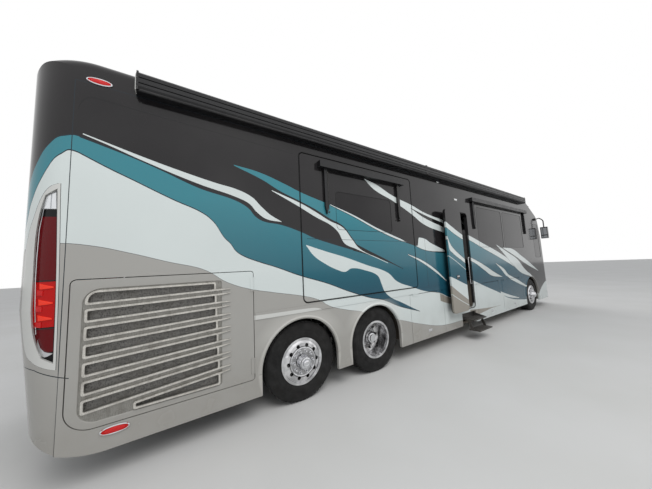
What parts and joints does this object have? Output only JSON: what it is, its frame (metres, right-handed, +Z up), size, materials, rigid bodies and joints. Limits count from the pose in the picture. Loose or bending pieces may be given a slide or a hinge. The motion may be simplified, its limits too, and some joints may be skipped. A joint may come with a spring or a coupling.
{
  "type": "three-axle bus-style motorhome",
  "caption": "Long bus-style motorhome on three axles with a slide-out room, side bays, roof awning and open entry door.",
  "frame": {"origin": "on the ground under the middle of the coach", "axes": "+X forward, +Y to the coach's left, +Z up"},
  "size_m": [13.6129, 3.195, 4.0898],
  "materials": {
    "coach_paint": "deep gloss clear coat over stripes",
    "bellows": "matt",
    "awning_black": "satin black",
    "chassis_black": "matt black",
    "seat_leather": "soft",
    "dash_plastic": "matt",
    "engine_iron": "painted grey",
    "step_metal": "brushed",
    "dark_glass": "privacy tint",
    "floor_board": "satin",
    "lamp_glass": "clear",
    "mirror_black": "gloss",
    "red_lens": "clear red lens",
    "roof_white": "matt",
    "bright_louvre": "polished",
    "tyre_rubber": "dull",
    "wheel_polish": "polished"
  },
  "bodies": {
    "coach": {"air_springs": "bellows", "awnings": "awning_black", "axles": "chassis_black", "cab_seats": "seat_leather", "chassis_frame": "chassis_black", "dashboard": "dash_plastic", "engine": "engine_iron", "entry_door": "coach_paint", "entry_steps": "step_metal", "fixed_glass": "dark_glass", "floor": "floor_board", "front_cap": "coach_paint", "headlamps": "lamp_glass", "left_wall": "coach_paint", "mirrors": "mirror_black", "rear_cap": "coach_paint", "red_lamps": "red_lens", "right_wall": "coach_paint", "roof": "coach_paint", "roof_units": "roof_white"},
    "engine_hatch": {"engine_hatch": "coach_paint"},
    "radiator_door": {"radiator_door": "coach_paint", "radiator_louvres": "bright_louvre"},
    "engine_side_door": {"engine_side_door": "coach_paint"},
    "slide_room": {"slide_room": "coach_paint", "slide_glass": "dark_glass", "slide_awning": "awning_black"},
    "knuckle_right": {"knuckle_right": "chassis_black"},
    "knuckle_left": {"knuckle_left": "chassis_black"},
    "bay_door_right_rear": {"bay_door_right_rear": "coach_paint"},
    "bay_door_right_middle": {"bay_door_right_middle": "coach_paint"},
    "bay_door_right_front": {"bay_door_right_front": "coach_paint"},
    "bay_door_left_rear": {"bay_door_left_rear": "coach_paint"},
    "bay_door_left_middle": {"bay_door_left_middle": "coach_paint"},
    "bay_door_left_front": {"bay_door_left_front": "coach_paint"},
    "wheels_front_right": {"wheel_front_right": "wheel_polish", "tyre_front_right": "tyre_rubber"},
    "wheels_front_left": {"wheel_front_left": "wheel_polish", "tyre_front_left": "tyre_rubber"},
    "wheels_drive_right": {"wheel_drive_right": "wheel_polish", "tyre_drive_right": "tyre_rubber"},
    "wheels_drive_left": {"wheel_drive_left": "wheel_polish", "tyre_drive_left": "tyre_rubber"},
    "wheels_tag_right": {"wheel_tag_right": "wheel_polish", "tyre_tag_right": "tyre_rubber"},
    "wheels_tag_left": {"wheel_tag_left": "wheel_polish", "tyre_tag_left": "tyre_rubber"}
  },
  "joints": [
    {"name": "engine_hatch_lift", "type": "hinge", "parent": "coach", "child": "engine_hatch", "pos_m": [-6.806, 0, 1.636], "axis": [0, 1, 0], "range_deg": [0, 75]},
    {"name": "radiator_door_swing", "type": "hinge", "parent": "coach", "child": "radiator_door", "pos_m": [-4.731, -1.296, 1.15], "axis": [0, 0, 1], "range_deg": [0, 90]},
    {"name": "engine_side_door_swing", "type": "hinge", "parent": "coach", "child": "engine_side_door", "pos_m": [-4.731, 1.296, 1.15], "axis": [0, 0, -1], "range_deg": [0, 90]},
    {"name": "slide_room_extend", "type": "slide", "parent": "coach", "child": "slide_room", "axis": [0, -1, 0], "range_m": [0, 0.56]},
    {"name": "steer_right", "type": "hinge", "parent": "coach", "child": "knuckle_right", "pos_m": [4.82, -0.93, 0.53], "axis": [0, 0, 1], "range_deg": [-35, 35]},
    {"name": "steer_left", "type": "hinge", "parent": "coach", "child": "knuckle_left", "pos_m": [4.82, 0.93, 0.53], "axis": [0, 0, 1], "range_deg": [-35, 35]},
    {"name": "bay_door_right_rear_lift", "type": "hinge", "parent": "coach", "child": "bay_door_right_rear", "pos_m": [-1.16, -1.296, 1.186], "axis": [-1, 0, 0], "range_deg": [0, 85]},
    {"name": "bay_door_right_middle_lift", "type": "hinge", "parent": "coach", "child": "bay_door_right_middle", "pos_m": [1.68, -1.296, 1.186], "axis": [-1, 0, 0], "range_deg": [0, 85]},
    {"name": "bay_door_right_front_lift", "type": "hinge", "parent": "coach", "child": "bay_door_right_front", "pos_m": [3.24, -1.296, 1.186], "axis": [-1, 0, 0], "range_deg": [0, 85]},
    {"name": "bay_door_left_rear_lift", "type": "hinge", "parent": "coach", "child": "bay_door_left_rear", "pos_m": [-0.78, 1.296, 1.186], "axis": [1, 0, 0], "range_deg": [0, 85]},
    {"name": "bay_door_left_middle_lift", "type": "hinge", "parent": "coach", "child": "bay_door_left_middle", "pos_m": [1.14, 1.296, 1.186], "axis": [1, 0, 0], "range_deg": [0, 85]},
    {"name": "bay_door_left_front_lift", "type": "hinge", "parent": "coach", "child": "bay_door_left_front", "pos_m": [3.06, 1.296, 1.186], "axis": [1, 0, 0], "range_deg": [0, 85]},
    {"name": "roll_front_right", "type": "hinge", "parent": "knuckle_right", "child": "wheels_front_right", "pos_m": [4.82, -1.105, 0.53], "axis": [0, 1, 0], "continuous": true},
    {"name": "roll_front_left", "type": "hinge", "parent": "knuckle_left", "child": "wheels_front_left", "pos_m": [4.82, 1.105, 0.53], "axis": [0, 1, 0], "continuous": true},
    {"name": "roll_drive_right", "type": "hinge", "parent": "coach", "child": "wheels_drive_right", "pos_m": [-2.63, -1.095, 0.53], "axis": [0, 1, 0], "continuous": true},
    {"name": "roll_drive_left", "type": "hinge", "parent": "coach", "child": "wheels_drive_left", "pos_m": [-2.63, 1.095, 0.53], "axis": [0, 1, 0], "continuous": true},
    {"name": "roll_tag_right", "type": "hinge", "parent": "coach", "child": "wheels_tag_right", "pos_m": [-4.06, -1.105, 0.53], "axis": [0, 1, 0], "continuous": true},
    {"name": "roll_tag_left", "type": "hinge", "parent": "coach", "child": "wheels_tag_left", "pos_m": [-4.06, 1.105, 0.53], "axis": [0, 1, 0], "continuous": true}
  ],
  "couplings": [
    {"joint": "steer_left", "follows": "steer_right", "ratio": 1}
  ]
}
